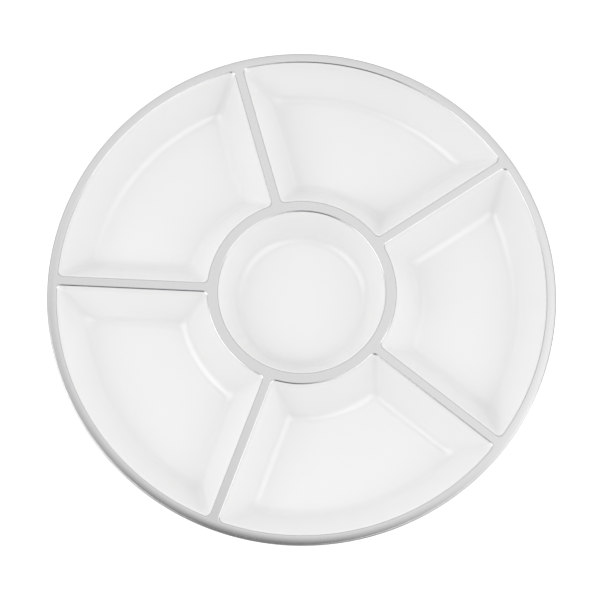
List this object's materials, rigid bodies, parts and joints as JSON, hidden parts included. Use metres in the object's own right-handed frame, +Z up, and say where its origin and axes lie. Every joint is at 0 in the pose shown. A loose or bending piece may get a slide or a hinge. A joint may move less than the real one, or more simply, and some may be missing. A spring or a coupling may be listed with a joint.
{
  "type": "chip and dip server",
  "caption": "Round shallow serving tray with equal wedge-shaped compartments around a central round dip well, and silver foil on its rim, well ring and dividers.",
  "frame": {"origin": "centre of the underside, on the plane of the foot ridges that the tray stands on", "axes": "+Z up along the tray's axis, out of the compartments; the middle of one divider lies on +Y and the others every 72 degrees round"},
  "size_m": [0.3048, 0.3048, 0.0254],
  "materials": {
    "white_plastic": "glossy injection-moulded white polystyrene",
    "silver_foil": "hot-stamped silver foil, bright with a faint grain"
  },
  "bodies": {
    "root": {"tray_moulding": "white_plastic", "rim_foil": "silver_foil", "well_ring_foil": "silver_foil", "divider_foil_1": "silver_foil", "divider_foil_2": "silver_foil", "divider_foil_3": "silver_foil", "divider_foil_4": "silver_foil", "divider_foil_5": "silver_foil"}
  },
  "joints": []
}
